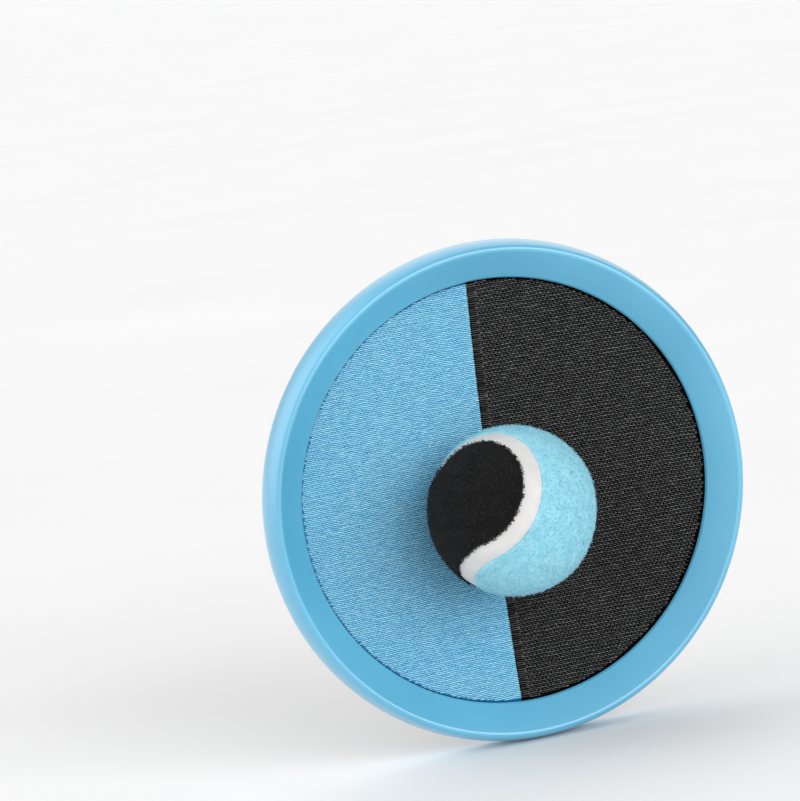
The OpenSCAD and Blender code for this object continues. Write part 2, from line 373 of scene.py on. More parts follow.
# %% The dish as a sphere
FACE_R = 802.0 * MM
BOARD_T = 1.4 * MM
LAYER_GAP = 0.15 * MM
BLUE_T = 1.2 * MM
BLACK_T = 1.5 * MM
LAYER_R = 82.25 * MM
board_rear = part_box("catch_board")[1].y
DISH_C = board_rear - FACE_R - BOARD_T
BLUE_FRONT = FACE_R - LAYER_GAP - BLUE_T
BLACK_FRONT = FACE_R - LAYER_GAP - BLACK_T


def dish_point(x, z, radius):
    """A point of the dish at one depth, given by the radius of its sphere."""
    return Vector((x, DISH_C + math.sqrt(radius ** 2 - x ** 2 - z ** 2), z))


print("dish centre at Y", round(DISH_C, 4))

# %% [markdown]
# ## The two cloths
# Each half of the face is a knitted cloth glued to the board. They meet a little left of the middle,
# where the black one, which is thicker, stands proud. A cloth is skinned from rows that run
# from the dividing line to the rim, and its cut edge is rolled over, so it throws a thin shadow there.

# %% Cloth panels
SPLIT_X = -4.8 * MM
SPLIT_GAP = 0.02 * MM
LOOP_H = 0.36 * MM
EDGE_ROLL = 0.5 * MM
ROLL_SHARE = 0.8
CLOTH_ROWS = 120
CLOTH_COLUMNS = 30
CROWDING = 1.6
NEARLY = 0.999


def cloth_section(z, side, front, rear):
    """One row of a cloth from the dividing line out and back behind, with points crowded at the line."""
    start = SPLIT_X + side * SPLIT_GAP
    end = side * math.sqrt(LAYER_R ** 2 - z ** 2)
    steps = [(k / CLOTH_COLUMNS) ** CROWDING for k in range(CLOTH_COLUMNS + 1)]
    row = []
    for step in steps:
        x = start + (end - start) * step
        inside = max(0.0, 1 - abs(x - start) / EDGE_ROLL)
        roll = EDGE_ROLL * (1 - math.sqrt(1 - inside ** 2))
        row.append(dish_point(x, z, front + min(roll, (rear - front) * ROLL_SHARE)))
    behind = [dish_point(start + (end - start) * step, z, rear) for step in reversed(steps)]
    return row + behind


def cloth(name, side, front):
    """The ground of one cloth: the pile stands on it, so it is thinner than the whole fabric."""
    top = math.sqrt(LAYER_R ** 2 - (abs(SPLIT_X) + SPLIT_GAP) ** 2) * NEARLY
    rows = [-top + 2 * top * k / CLOTH_ROWS for k in range(CLOTH_ROWS + 1)]
    sections = [cloth_section(z, side, front + LOOP_H, FACE_R - LAYER_GAP) for z in rows]
    return skin(name, sections, closed=False, sharp_angle=60)


blue_ground = cloth("blue_cloth", -1, BLUE_FRONT)
black_ground = cloth("black_cloth", 1, BLACK_FRONT)

# %% [markdown]
# Between the loops only a little of the ground shows, so its finish is simple in plan:
# fine courses that run across the cloth, drawn by a wave along the height, broken up by noise.
# Its colours are darker than the yarn's: painted shade for the shadow that the loops cast on it.
# In the narrow gap under the rim's lip the cloth lies deep and gets hardly any light, so a ring of painted
# shade darkens it there.
# A wave texture draws a fixed number of bands for each unit of its scale, so that number gets a name.

# %% Ground of the cloths
ROW_PITCH = 0.7 * MM
# The ring under the rim's lip where the ground's colour is painted shade.
LIP_SHADE_RING = (79.6 * MM, 80.3 * MM)
BANDS_PER_SCALE = 3.183


def shaded_ground_finish(name, lip_shade, dark, light):
    """Cloth ground in courses, painted darker than its yarn as shade; its first colour is painted shade under
    the lip.
    """
    material, tree, shader, place = new_finish(name, roughness=0.9, specular=0.05)
    across = wire(tree, "ShaderNodeMapping", {"Vector": place, "Rotation": (0.0, math.radians(90), 0.0)})
    scale = 1 / ROW_PITCH / BANDS_PER_SCALE
    courses = wire(tree, "ShaderNodeTexWave",
                   {"Vector": across, "Scale": scale, "Distortion": 1.5, "Detail": 2.0}, out="Fac")
    flat = wire(tree, "ShaderNodeVectorMath", {0: place, 1: (1.0, 0.0, 1.0)}, operation="MULTIPLY")
    reach = wire(tree, "ShaderNodeVectorMath", {0: flat}, out="Value", operation="LENGTH")
    # Painted shade: across the ring under the lip the colour falls to the shade colour.
    outside_lip_shade = wire(tree, "ShaderNodeMapRange",
                     {"Value": reach, "From Min": LIP_SHADE_RING[0], "From Max": LIP_SHADE_RING[1],
                      "To Min": 1.0, "To Max": 0.0})
    blotch = maths(tree, "MULTIPLY", courses, noise(tree, place, 900.0, 3.0))
    lit = maths(tree, "MULTIPLY", maths(tree, "ADD", blotch, 0.2), outside_lip_shade)
    feed(tree, shader, shade=ramp(tree, lit, [(0.0, lip_shade), (0.25, dark), (0.9, light)]),
         normal=bump(tree, courses, 0.5, 0.15 * MM))
    return material


# Both grounds are painted darker than their yarn, as shade between the loops; the first colour is painted
# shade under the rim's lip.
blue_shaded_ground_finish = shaded_ground_finish("blue_ground", (26, 84, 130), (40, 110, 158), (90, 170, 214))
black_shaded_ground_finish = shaded_ground_finish("black_ground", (2, 2, 3), (2, 2, 3), (8, 8, 9))
blue_cloth = show("blue_cloth", blue_ground, blue_shaded_ground_finish, "paddle")
black_cloth = show("black_cloth", black_ground, black_shaded_ground_finish, "paddle")
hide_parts("blue_catch_panel")
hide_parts("black_catch_panel")

# %% [markdown]
# ## A node tree for yarn loops
# The pile is thousands of tiny yarn loops in rows. Making one and repeating it is work for Geometry Nodes.
# The tree takes points that know which way is up and along, bends an arc into a loop,
# and stands one on each point with a random lean, size and tint. The material reads the stored tint.

# %% Loop tree
def tree_with(name, sockets):
    """A Geometry Nodes tree with named inputs; returns the tree, its input node and its output node."""
    tree = bpy.data.node_groups.new(name, "GeometryNodeTree")
    tree.interface.new_socket("Geometry", in_out="INPUT", socket_type="NodeSocketGeometry")
    for socket, kind in sockets.items():
        tree.interface.new_socket(socket, in_out="INPUT", socket_type="NodeSocket" + kind)
    tree.interface.new_socket("Geometry", in_out="OUTPUT", socket_type="NodeSocketGeometry")
    return tree, tree.nodes.new("NodeGroupInput").outputs, tree.nodes.new("NodeGroupOutput").inputs


def random_between(tree, low, high, seed):
    return wire(tree, "FunctionNodeRandomValue", {2: low, 3: high, "Seed": seed}, out=1)


def next_seed(tree, seed, step):
    return maths(tree, "ADD", seed, float(step))


def rotated(tree, rotation, angles):
    """A rotation turned further about its own axes, by angles named X, Y or Z."""
    extra = wire(tree, "FunctionNodeEulerToRotation", {"Euler": wire(tree, "ShaderNodeCombineXYZ", angles)})
    return wire(tree, "FunctionNodeRotateRotation", {"Rotation": rotation, "Rotate By": extra},
                rotation_space="LOCAL")


def end_tree(tree, geometry, given, result):
    """Makes everything in a tree real, shades it smooth and gives it its material."""
    real = wire(tree, "GeometryNodeRealizeInstances", {"Geometry": geometry})
    smooth = wire(tree, "GeometryNodeSetShadeSmooth", {"Geometry": real})
    done = wire(tree, "GeometryNodeSetMaterial", {"Geometry": smooth, "Material": given["Finish"]})
    tree.links.new(done, result["Geometry"])


def plant(tree, given, result, points, instance, rotation):
    """Puts an instance of random size and tint on every point, and ends the tree."""
    least = maths(tree, "SUBTRACT", 1.0, given["Size spread"])
    most = maths(tree, "ADD", 1.0, given["Size spread"])
    growth = random_between(tree, least, most, next_seed(tree, given["Seed"], 3))
    placed = wire(tree, "GeometryNodeInstanceOnPoints",
                  {"Points": points, "Instance": instance, "Rotation": rotation, "Scale": growth})
    tint = random_between(tree, 0.0, 1.0, next_seed(tree, given["Seed"], 4))
    marked = wire(tree, "GeometryNodeStoreNamedAttribute",
                  {"Geometry": placed, "Name": "tint", "Value": tint}, domain="INSTANCE", data_type="FLOAT")
    end_tree(tree, marked, given, result)


def loop_tree():
    """Stands one yarn loop on every point of the base."""
    tree, given, result = tree_with("yarn_loops", {
        "Length": "Float", "Height": "Float", "Yarn": "Float", "Arc": "Float", "Arc points": "Int",
        "Lean": "Float", "Lean spread": "Float", "Twist": "Float", "Jitter": "Float", "Size spread": "Float",
        "Seed": "Int", "Finish": "Material"})
    bend = wire(tree, "GeometryNodeCurveArc",
                {"Resolution": given["Arc points"], "Radius": 1.0, "Sweep Angle": given["Arc"]})
    half = maths(tree, "MULTIPLY", given["Length"], 0.5)
    size = wire(tree, "ShaderNodeCombineXYZ", {"X": half, "Y": given["Height"], "Z": 1.0})
    flat = wire(tree, "GeometryNodeTransform", {"Geometry": bend, "Scale": size})
    standing = wire(tree, "GeometryNodeTransform", {"Geometry": flat, "Rotation": (math.pi / 2, 0.0, 0.0)})
    strand = wire(tree, "GeometryNodeCurvePrimitiveCircle", {"Resolution": 3, "Radius": given["Yarn"]})
    loop = wire(tree, "GeometryNodeCurveToMesh", {"Curve": standing, "Profile Curve": strand})

    shake = wire(tree, "FunctionNodeRandomValue",
                 {0: (-1.0, -1.0, -1.0), 1: (1.0, 1.0, 1.0), "Seed": given["Seed"]}, data_type="FLOAT_VECTOR")
    moved = wire(tree, "ShaderNodeVectorMath", {0: shake, "Scale": given["Jitter"]}, operation="SCALE")
    points = wire(tree, "GeometryNodeSetPosition", {"Geometry": given["Geometry"], "Offset": moved})

    up_way = wire(tree, "GeometryNodeInputNamedAttribute", {"Name": "up"}, data_type="FLOAT_VECTOR")
    along_way = wire(tree, "GeometryNodeInputNamedAttribute", {"Name": "along"}, data_type="FLOAT_VECTOR")
    raised = wire(tree, "FunctionNodeAlignRotationToVector", {"Vector": up_way}, axis="Z")
    set_along = wire(tree, "FunctionNodeAlignRotationToVector", {"Rotation": raised, "Vector": along_way},
                     axis="X", pivot_axis="Z")
    low_lean = maths(tree, "SUBTRACT", given["Lean"], given["Lean spread"])
    high_lean = maths(tree, "ADD", given["Lean"], given["Lean spread"])
    lean = random_between(tree, low_lean, high_lean, next_seed(tree, given["Seed"], 1))
    less_twist = maths(tree, "MULTIPLY", given["Twist"], -1.0)
    twist = random_between(tree, less_twist, given["Twist"], next_seed(tree, given["Seed"], 2))
    facing = rotated(tree, set_along, {"X": lean, "Z": twist})
    plant(tree, given, result, points, loop, facing)
    return tree


yarn_loops = loop_tree()
print(yarn_loops.name, "has", len(yarn_loops.nodes), "nodes")

# %% [markdown]
# A modifier runs the tree. Its inputs are set through their identifiers before Blender evaluates anything,
# and the evaluated result is copied into a plain mesh, so no modifier is left on the piece.

# %% Running a tree
def seed_points(name, points, ups, alongs):
    """A mesh of loose points that carry their own up and along directions."""
    mesh = bpy.data.meshes.new(name)
    mesh.from_pydata([tuple(point) for point in points], [], [])
    for word, ways in (("up", ups), ("along", alongs)):
        layer = mesh.attributes.new(word, "FLOAT_VECTOR", "POINT")
        layer.data.foreach_set("vector", [part for way in ways for part in way])
    return mesh


def grown(name, base, tree, inputs):
    """Runs a tree on a base mesh and returns what it makes as a plain mesh."""
    holder = bpy.data.objects.new(name + "_base", base)
    bpy.context.collection.objects.link(holder)
    modifier = holder.modifiers.new("growth", "NODES")
    modifier.node_group = tree
    for item in tree.interface.items_tree:
        if item.in_out == "INPUT" and item.name in inputs:
            modifier[item.identifier] = inputs[item.name]
    shown = bpy.context.evaluated_depsgraph_get()
    mesh = bpy.data.meshes.new_from_object(holder.evaluated_get(shown), preserve_all_data_layers=True,
                                           depsgraph=shown)
    mesh.name = name
    bpy.data.objects.remove(holder)
    return mesh


# %% [markdown]
# ## Yarn
# The yarn is a smooth synthetic fibre with a soft shine. Its colour follows the tint of each loop,
# so neighbours differ a little, and it drifts in slow patches, because yarn never takes dye evenly.

# %% Yarn finishes
def yarn_finish(name, stops, roughness, sheen, patch):
    """Yarn whose colour follows each loop's tint and drifts in patches across the cloth."""
    material, tree, shader, place = new_finish(name, roughness=roughness, specular=0.35, sheen=sheen,
                                               sheen_roughness=0.4)
    tint = wire(tree, "ShaderNodeAttribute", out="Fac", attribute_name="tint")
    cloud = spread(tree, noise(tree, place, 45.0, 3.0), -patch, patch)
    feed(tree, shader, shade=ramp(tree, maths(tree, "ADD", tint, cloud), stops))
    return material


blue_yarn = yarn_finish("blue_yarn", [(0.0, (150, 226, 251)), (0.4, (172, 239, 254)),
                                      (1.0, (196, 249, 255))], 0.5, 0.25, 0.12)
# The black yarn is painted a mid grey that is lighter on some loops: partly random tone from loop to loop,
# partly painted highlights for the shine of black nylon loop tops.
black_yarn_with_glints = yarn_finish("black_yarn_with_glints", [(0.0, (82, 82, 83)), (0.6, (98, 98, 98)),
                                        (1.0, (120, 120, 119))], 0.45, 0.05, 0.08)
edge_yarn = yarn_finish("edge_yarn", [(0.0, (26, 26, 27)), (1.0, (92, 90, 88))], 0.5, 0.05, 0.1)

# %% [markdown]
# ## The pile of the face
# Rows of loops run across the face, at right angles to the dividing line. They lie in pairs, and each pair
# is shifted by half a loop against the last, like courses of bricks. On the blue cloth every row has a loop
# right at the cut, which keeps the dividing line straight. The blue loops are long and touch,
# so the eye sees lines; the black ones are shorter, and every second row is finer, so the eye sees dots.
# A single piece would hold too many triangles, so the even rows and the odd rows are pieces of their own.

# %% Rows of loops on both cloths
LOOP_PITCH = 1.55 * MM
PILE_REACH = 79.9 * MM
ROW_WAVE = 0.08 * MM
WAVE_TURN = 700
WAVE_LAG = 0.1
SELVEDGE = 3.2 * MM
PILE = {"Height": LOOP_H, "Arc": math.pi, "Arc points": 5, "Lean": math.radians(-10),
        "Lean spread": math.radians(6), "Twist": math.radians(4), "Jitter": 0.045 * MM, "Size spread": 0.12}


def pile_rows(side, front, odd, margin):
    """Points on every second row of one cloth, from the dividing line to the rim."""
    points = []
    rows = int(PILE_REACH / ROW_PITCH)
    columns = int((PILE_REACH - SPLIT_X) / LOOP_PITCH)
    for i in range(-rows, rows + 1):
        if i % 2 != odd:
            continue
        brick = 0.5 * (i // 2 % 2)
        steps = [k + brick for k in range(columns)]
        if side < 0 and brick:
            steps.append(0.0)
        for step in steps:
            x = SPLIT_X + side * (margin + step * LOOP_PITCH)
            z = i * ROW_PITCH + ROW_WAVE * math.sin(x * WAVE_TURN + i * WAVE_LAG)
            if math.hypot(x, z) < PILE_REACH:
                points.append(dish_point(x, z, front + LOOP_H))
    return points


def on_face(points):
    """Points of the dish together with their outward and sideways directions."""
    ups = [(Vector((0.0, DISH_C, 0.0)) - point).normalized() for point in points]
    return points, ups, [(1.0, 0.0, 0.0)] * len(points)


def stand_loops(name, spots, sizes, seed, finish, body=None):
    """Grows loops on points that know their directions, and shows them as one piece."""
    inputs = {**PILE, **sizes, "Seed": seed, "Finish": finish}
    mesh = grown(name, seed_points(name + "_points", *spots), yarn_loops, inputs)
    return show(name, mesh, finish, body)


# %% [markdown]
# The two cloths differ in a few values only: their side and front, the distance of the first loop
# from the dividing line, the length of a loop, the yarn and the seed in even and odd rows, and the finish.

# %% Even and odd rows of each cloth
PILE_KINDS = {
    "blue": (-1, BLUE_FRONT, 0.75 * MM, 1.35 * MM, (0.19 * MM, 0.165 * MM), (11, 21), blue_yarn),
    "black": (1, BLACK_FRONT, SELVEDGE, 1.1 * MM, (0.22 * MM, 0.11 * MM), (12, 22), black_yarn_with_glints),
}
piles = {tone: [] for tone in PILE_KINDS}
for odd, word in enumerate(("even", "odd")):
    for tone, (side, front, margin, length, yarns, seeds, finish) in PILE_KINDS.items():
        spots = on_face(pile_rows(side, front, odd, margin))
        loop = {"Length": length, "Yarn": yarns[odd]}
        pile = stand_loops(f"{tone}_pile_{word}", spots, loop, seeds[odd], finish, "paddle")
        piles[tone].append(pile)

# %% [markdown]
# ## The black cloth's woven edge
# Along the dividing line the black cloth has no pile: its weft threads show as fine ribs that turn back
# at the edge. They are long low loops from the same tree, one beside another.

# %% Ribs of the woven edge
RIB_PITCH = 0.8 * MM
RIB_X = SPLIT_X + SELVEDGE / 2 + 0.25 * MM
RIB = {"Length": SELVEDGE, "Height": 0.34 * MM, "Yarn": 0.2 * MM, "Arc points": 9, "Lean": 0.0,
       "Twist": math.radians(3), "Jitter": 0.06 * MM}
rib_count = int(PILE_REACH / RIB_PITCH)
ribs = [dish_point(RIB_X, k * RIB_PITCH, BLACK_FRONT + LOOP_H) for k in range(-rib_count, rib_count + 1)]
woven_edge = stand_loops("black_woven_edge", on_face(ribs), RIB, 31, edge_yarn, "paddle")

# %% [markdown]
# Each cloth is cut as a segment of a circle and glued down on the board.

# %% [markdown]
# ## Board and foam
# Behind the cloths lie a stiff board and a sheet of white foam. The board stays as the CAD made it.
# The foam is soft and shows through the strap slots, so it is skinned again with eased edges: a ring between
# a window for the strap and a round outside, which follows the board in front and the cover behind.

# %% Board
def speckled(name, scale, detail, dark, light, depth):
    """A dull finish whose colour, gloss and relief all follow one noise."""
    material, tree, shader, place = new_finish(name, specular=0.3)
    specks = noise(tree, place, scale, detail)
    feed(tree, shader, shade=ramp(tree, specks, [(0.3, dark), (0.7, light)]),
         roughness=spread(tree, specks, 0.6, 0.8), normal=bump(tree, specks, 0.2, depth))
    return material


dress_node("catch_board", speckled("board_white", 800.0, 4.0, (205, 204, 198), (228, 227, 222), 0.1 * MM))

# %% Foam sheet with its window
COVER_R = 890.689 * MM
COVER_T = 1.8 * MM
COVER_C = -COVER_R
FOAM_R = 79.85 * MM
WINDOW_LOW = (-56.25 * MM, -9.85 * MM)
WINDOW_HIGH = (54.2 * MM, 15.85 * MM)
FOAM_SIDES = 180
FOAM_EASE = 0.45
TINY = 1e-6
FOAM_STEPS = [0.0, 0.012, 0.04, 0.1, 0.25, 0.4, 0.55, 0.7, 0.85, 0.95, 0.985, 1.0]
window_mid = [(low + high) / 2 for low, high in zip(WINDOW_LOW, WINDOW_HIGH)]
window_half = [(high - low) / 2 for low, high in zip(WINDOW_LOW, WINDOW_HIGH)]


def cover_y(x, z, depth):
    """Y of the cover's dome, or of a layer this far inside it."""
    return COVER_C + math.sqrt((COVER_R - depth) ** 2 - x ** 2 - z ** 2)


def foam_section(angle):
    """One radial section of the foam, from the window to the outside and back."""
    way = Vector((math.cos(angle), math.sin(angle)))
    start = min(half / max(abs(part), TINY) for half, part in zip(window_half, way))
    middle = Vector(window_mid)
    end = -middle.dot(way) + math.sqrt(middle.dot(way) ** 2 + FOAM_R ** 2 - middle.length_squared)
    front, rear = [], []
    for step in FOAM_STEPS:
        x, z = middle + way * (start + (end - start) * step)
        board = dish_point(x, z, FACE_R + BOARD_T + LAYER_GAP).y
        cover = cover_y(x, z, COVER_T + LAYER_GAP)
        ease = FOAM_EASE * (cover - board) if step in (0.0, 1.0) else 0.0
        front.append((x, board + ease, z))
        rear.append((x, cover - ease, z))
    return front + rear[::-1]


corner_angle = math.atan2(window_half[1], window_half[0])
corner_turns = (corner_angle, -corner_angle, math.pi - corner_angle, math.pi + corner_angle)
foam_angles = [2 * math.pi * k / FOAM_SIDES for k in range(FOAM_SIDES)]
foam_angles += [angle % (2 * math.pi) for angle in corner_turns]
foam_mesh = skin("foam_sheet", [foam_section(angle) for angle in sorted(foam_angles)], closed=True)

foam_white, tree, shader, place = new_finish("foam_white", roughness=0.9, specular=0.15)
cells = wire(tree, "ShaderNodeTexVoronoi", {"Vector": place, "Scale": 1800.0}, out="Distance")
feed(tree, shader, shade=ramp(tree, cells, [(0.1, (206, 206, 203)), (0.6, (244, 244, 241))]),
     normal=bump(tree, cells, 0.5, 0.2 * MM))
foam = show("foam_sheet", foam_mesh, foam_white, "paddle")
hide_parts("foam_core")

# %% [markdown]
# ## The back cover
# The cover is a thin black dome with a leathery grain from the mould. Its shape in the CAD is right,
# so the node stays and only takes a finish: fine cells for the grain, lumps for the leather,
# and a dull gloss that is a little shinier where hands rub it.

# %% Grained black plastic
def grained(name, dark, light, grain, roughness):
    """Black moulded plastic: Voronoi cells make the grain, noise makes it uneven."""
    material, tree, shader, place = new_finish(name, specular=0.25)
    pebbles = wire(tree, "ShaderNodeTexVoronoi", {"Vector": place, "Scale": 1600.0, "Randomness": 0.9},
                   out="Distance", feature="SMOOTH_F1")
    fine = noise(tree, place, 4000.0, 2.0)
    relief = maths(tree, "ADD", pebbles, maths(tree, "MULTIPLY", fine, 0.6))
    cloud = noise(tree, place, 30.0, 4.0)
    shade = ramp(tree, maths(tree, "ADD", relief, maths(tree, "MULTIPLY", cloud, 0.4)),
                 [(0.7, dark), (1.3, light)])
    feed(tree, shader, shade=shade, roughness=spread(tree, cloud, *roughness),
         normal=bump(tree, relief, grain, 0.25 * MM))
    return material


cover_black = grained("cover_black", (2, 2, 3), (46, 46, 47), 0.8, (0.4, 0.56))
dress_node("back_cover", cover_black)

# %% [markdown]
# ## The hand outline
# A raised line shows where the hand goes. It is a belt round eleven circles: fingertips and heel outside,
# webs between the fingers inside. The line is worked out as arcs, laid on the dome and broken where it meets
# a strap slot. A node tree sweeps a tube along it and flattens it towards the dome, so its sides are soft.

# %% Path of the outline
HAND = [(26.5, 58.8, 9.2, 1), (8.2, 25.0, 5.0, -1), (-5.8, 63.0, 10.2, 1), (-11.0, 20.8, 3.5, -1),
        (-30.8, 50.0, 8.0, 1), (-30.0, 9.0, 4.0, -1), (-53.3, 23.8, 6.3, 1), (-12.0, -35.0, 24.0, 1),
        (14.0, -38.0, 22.0, 1), (57.0, 22.0, 7.5, 1), (31.0, 3.0, 6.0, -1)]
ARC_STEP = math.radians(4)
SLOT_X = 53.0 * MM
SLOT_HALF = (6.0 * MM, 14.0 * MM)
RIDGE_STEP = 0.8 * MM


def belt_heading(p, q):
    """Direction of the straight run from one circle to the next."""
    dx, dy = q[0] - p[0], q[1] - p[1]
    return math.atan2(dy, dx) - math.asin((q[3] * q[2] - p[3] * p[2]) / math.hypot(dx, dy))


def hand_line():
    """Points of the outline, seen from the front."""
    points = []
    for i, (x, y, radius, way) in enumerate(HAND):
        here = HAND[i]
        start = belt_heading(HAND[i - 1], here)
        sweep = (way * (belt_heading(here, HAND[(i + 1) % len(HAND)]) - start)) % (2 * math.pi)
        steps = max(2, math.ceil(sweep / ARC_STEP))
        for k in range(steps + 1):
            t = start + way * sweep * k / steps
            px = -(x + way * radius * math.sin(t)) * MM
            pz = (y - way * radius * math.cos(t)) * MM
            points.append(Vector((px, pz)))
    return points


def on_dome(points):
    """The same closed line in short steps, laid on the dome."""
    laid = []
    for here, after in zip(points, points[1:] + points[:1]):
        steps = max(1, math.ceil((after - here).length / MM))
        for k in range(steps):
            x, z = here.lerp(after, k / steps)
            laid.append((x, cover_y(x, z, 0.0), z))
    return laid


def clear_of_slots(point):
    """Whether a point of the line lies on the cover and not over a strap slot."""
    return abs(abs(point[0]) - SLOT_X) > SLOT_HALF[0] or abs(point[2] - LOOP_HINGE.z) > SLOT_HALF[1]


def ridge_tree():
    """Sweeps a tube along the base's line and presses it flat against the dome."""
    tree, given, result = tree_with("ridge_line", {
        "Half width": "Float", "Flatness": "Float", "Dome radius": "Float", "Dome centre": "Float",
        "Finish": "Material"})
    path = wire(tree, "GeometryNodeMeshToCurve", {"Mesh": given["Geometry"]})
    even = wire(tree, "GeometryNodeResampleCurve", {"Curve": path, "Length": RIDGE_STEP}, mode="LENGTH")
    ring = wire(tree, "GeometryNodeCurvePrimitiveCircle", {"Resolution": 12, "Radius": given["Half width"]})
    tube = wire(tree, "GeometryNodeCurveToMesh", {"Curve": even, "Profile Curve": ring, "Fill Caps": True})
    place = wire(tree, "GeometryNodeInputPosition")
    parts = tree.nodes.new("ShaderNodeSeparateXYZ")
    tree.links.new(place, parts.inputs[0])
    squares = maths(tree, "ADD", maths(tree, "POWER", parts.outputs["X"], 2.0),
                    maths(tree, "POWER", parts.outputs["Z"], 2.0))
    inside = maths(tree, "SUBTRACT", maths(tree, "POWER", given["Dome radius"], 2.0), squares)
    dome = maths(tree, "ADD", given["Dome centre"], maths(tree, "SQRT", inside))
    height = maths(tree, "MULTIPLY", maths(tree, "SUBTRACT", parts.outputs["Y"], dome), given["Flatness"])
    lowered = wire(tree, "ShaderNodeCombineXYZ",
                   {"X": parts.outputs["X"], "Y": maths(tree, "ADD", dome, height), "Z": parts.outputs["Z"]})
    laid = wire(tree, "GeometryNodeSetPosition", {"Geometry": tube, "Position": lowered})
    end_tree(tree, laid, given, result)
    return tree


# %% Ridge on the cover
RIDGE_HALF = 1.75 * MM
RIDGE_H = 0.82 * MM
line = on_dome(hand_line())
pairs = [(k, (k + 1) % len(line)) for k in range(len(line))]
kept = [pair for pair in pairs if all(clear_of_slots(line[k]) for k in pair)]
line_mesh = bpy.data.meshes.new("hand_path")
line_mesh.from_pydata(line, kept, [])
ridge_black = grained("ridge_black", (52, 52, 53), (60, 60, 61), 0.06, (0.36, 0.48))
ridge_mesh = grown("hand_outline", line_mesh, ridge_tree(),
                   {"Half width": RIDGE_HALF, "Flatness": RIDGE_H / RIDGE_HALF, "Dome radius": COVER_R,
                    "Dome centre": COVER_C, "Finish": ridge_black})
show("hand_outline", ridge_mesh, ridge_black, "paddle")

# %% [markdown]
# ## The strap tapes
# The strap is two tapes that come up through slots in the cover: a loop tape and, lying over its end,
# a hook tape with a round tip. Each is a flat section carried along an arc, and each starts inside its slot.

# %% Tape sections along a path
STRAP_Z = LOOP_HINGE.z
TAPE_HALF = 12.25 * MM
TAPE_ROUND = 0.42
STRAP_C_Y = -37.5037 * MM
LOOP_ARC = 64.2537 * MM
HOOK_ARC = 65.9537 * MM
ROOT_DEPTH = 2.4 * MM


def tape_path(hinge, radius, end_x, steps):
    """Middle line of a tape as (x, y), from inside its slot to its free end."""
    start = math.atan2(hinge.y - STRAP_C_Y, hinge.x)
    end = math.acos(end_x / radius)
    return [(hinge.x, hinge.y - ROOT_DEPTH)] + arc((0.0, STRAP_C_Y), radius, start, end, steps)


def across_path(path, outward):
    """Unit vectors square to a path in the XY plane, on the side that looks away from a point."""
    ways = []
    for i, here in enumerate(path):
        before, after = path[max(i - 1, 0)], path[min(i + 1, len(path) - 1)]
        run = Vector((after[0] - before[0], after[1] - before[1])).normalized()
        side = Vector((run.y, -run.x))
        ways.append(side if side.dot(Vector(here) - outward) > 0 else -side)
    return ways


def tape_sections(path, ways, inner, outer, half_widths):
    """Flat rounded sections along a path, between two distances from its middle line."""
    sections = []
    edge = TAPE_ROUND * (outer - inner)
    for (x, y), way, half in zip(path, ways, half_widths):
        sides = [(inner, -half, edge), (outer, -half, edge), (outer, half, edge), (inner, half, edge)]
        outline = rounded(sides, 3)
        sections.append([(x + way.x * n, y + way.y * n, STRAP_Z + z) for n, z in outline])
    return sections


# %% [markdown]
# ### Tape cloth
# Both tapes are woven. The UV map of a skinned tape runs along it and across it in metres, so two waves
# at right angles draw a weave that follows the bend. The hook tape's back is a plainer, paler weave.

# %% Woven tape finish
def woven(name, dark, light, pitch, roughness):
    """Woven tape: its threads give the relief, and slow noise wears their colour."""
    material, tree, shader, place = new_finish(name, roughness=roughness, specular=0.3, sheen=0.12)
    sheet = wire(tree, "ShaderNodeUVMap", uv_map="UVMap")
    count = 1 / pitch / BANDS_PER_SCALE
    warp = wire(tree, "ShaderNodeTexWave", {"Vector": sheet, "Scale": count, "Distortion": 0.6}, out="Fac")
    weft = wire(tree, "ShaderNodeTexWave", {"Vector": sheet, "Scale": count, "Distortion": 0.6}, out="Fac",
                bands_direction="Y")
    threads = maths(tree, "MULTIPLY", warp, weft)
    worn = maths(tree, "MULTIPLY", threads, spread(tree, noise(tree, place, 160.0, 3.0), 0.6, 1.3))
    feed(tree, shader, shade=ramp(tree, worn, [(0.05, dark), (0.9, light)]),
         normal=bump(tree, threads, 0.6, 0.15 * MM))
    return material


loop_cloth = woven("loop_tape_cloth", (9, 9, 10), (26, 26, 28), 0.55 * MM, 0.8)
hook_cloth = woven("hook_tape_cloth", (17, 17, 18), (46, 46, 48), 0.62 * MM, 0.6)

# %% Loop tape
LOOP_END_X = -10.0 * MM
LOOP_CLOTH = (-0.75 * MM, 0.1 * MM)
LOOP_BEND = (LOOP_HINGE, LOOP_ARC, "loop_tape")
TAPE_STEPS = 64
strap_middle = Vector((0.0, STRAP_C_Y))
loop_path = tape_path(LOOP_HINGE, LOOP_ARC, LOOP_END_X, TAPE_STEPS)
loop_ways = across_path(loop_path, strap_middle)
loop_sections = tape_sections(loop_path, loop_ways, *LOOP_CLOTH, [TAPE_HALF] * len(loop_path))
loop_tape = show("loop_tape", skin("loop_tape", loop_sections, closed=False), loop_cloth)
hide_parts("loop_strap")


def bend_at(piece, hinge, radius, body):
    """Bakes the tape's placement into its mesh."""
    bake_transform(piece)


bend_at(loop_tape, *LOOP_BEND)

# %% [markdown]
# ### Pile of the loop tape
# The loop tape is covered with a dense brushed pile, like black velvet with loops standing out of it.
# The loop tree is used again with taller, less regular loops. They start inside the slot,
# so black fibres stray over the white foam there.

# %% Loops on the loop tape
EDGE_FREE = 0.5 * MM
NAP_START = 0.3 * MM
NAP = {"Length": 0.85 * MM, "Height": 0.7 * MM, "Yarn": 0.08 * MM, "Lean": 0.0,
       "Lean spread": math.radians(45), "Twist": math.radians(80), "Jitter": 0.22 * MM, "Size spread": 0.3}


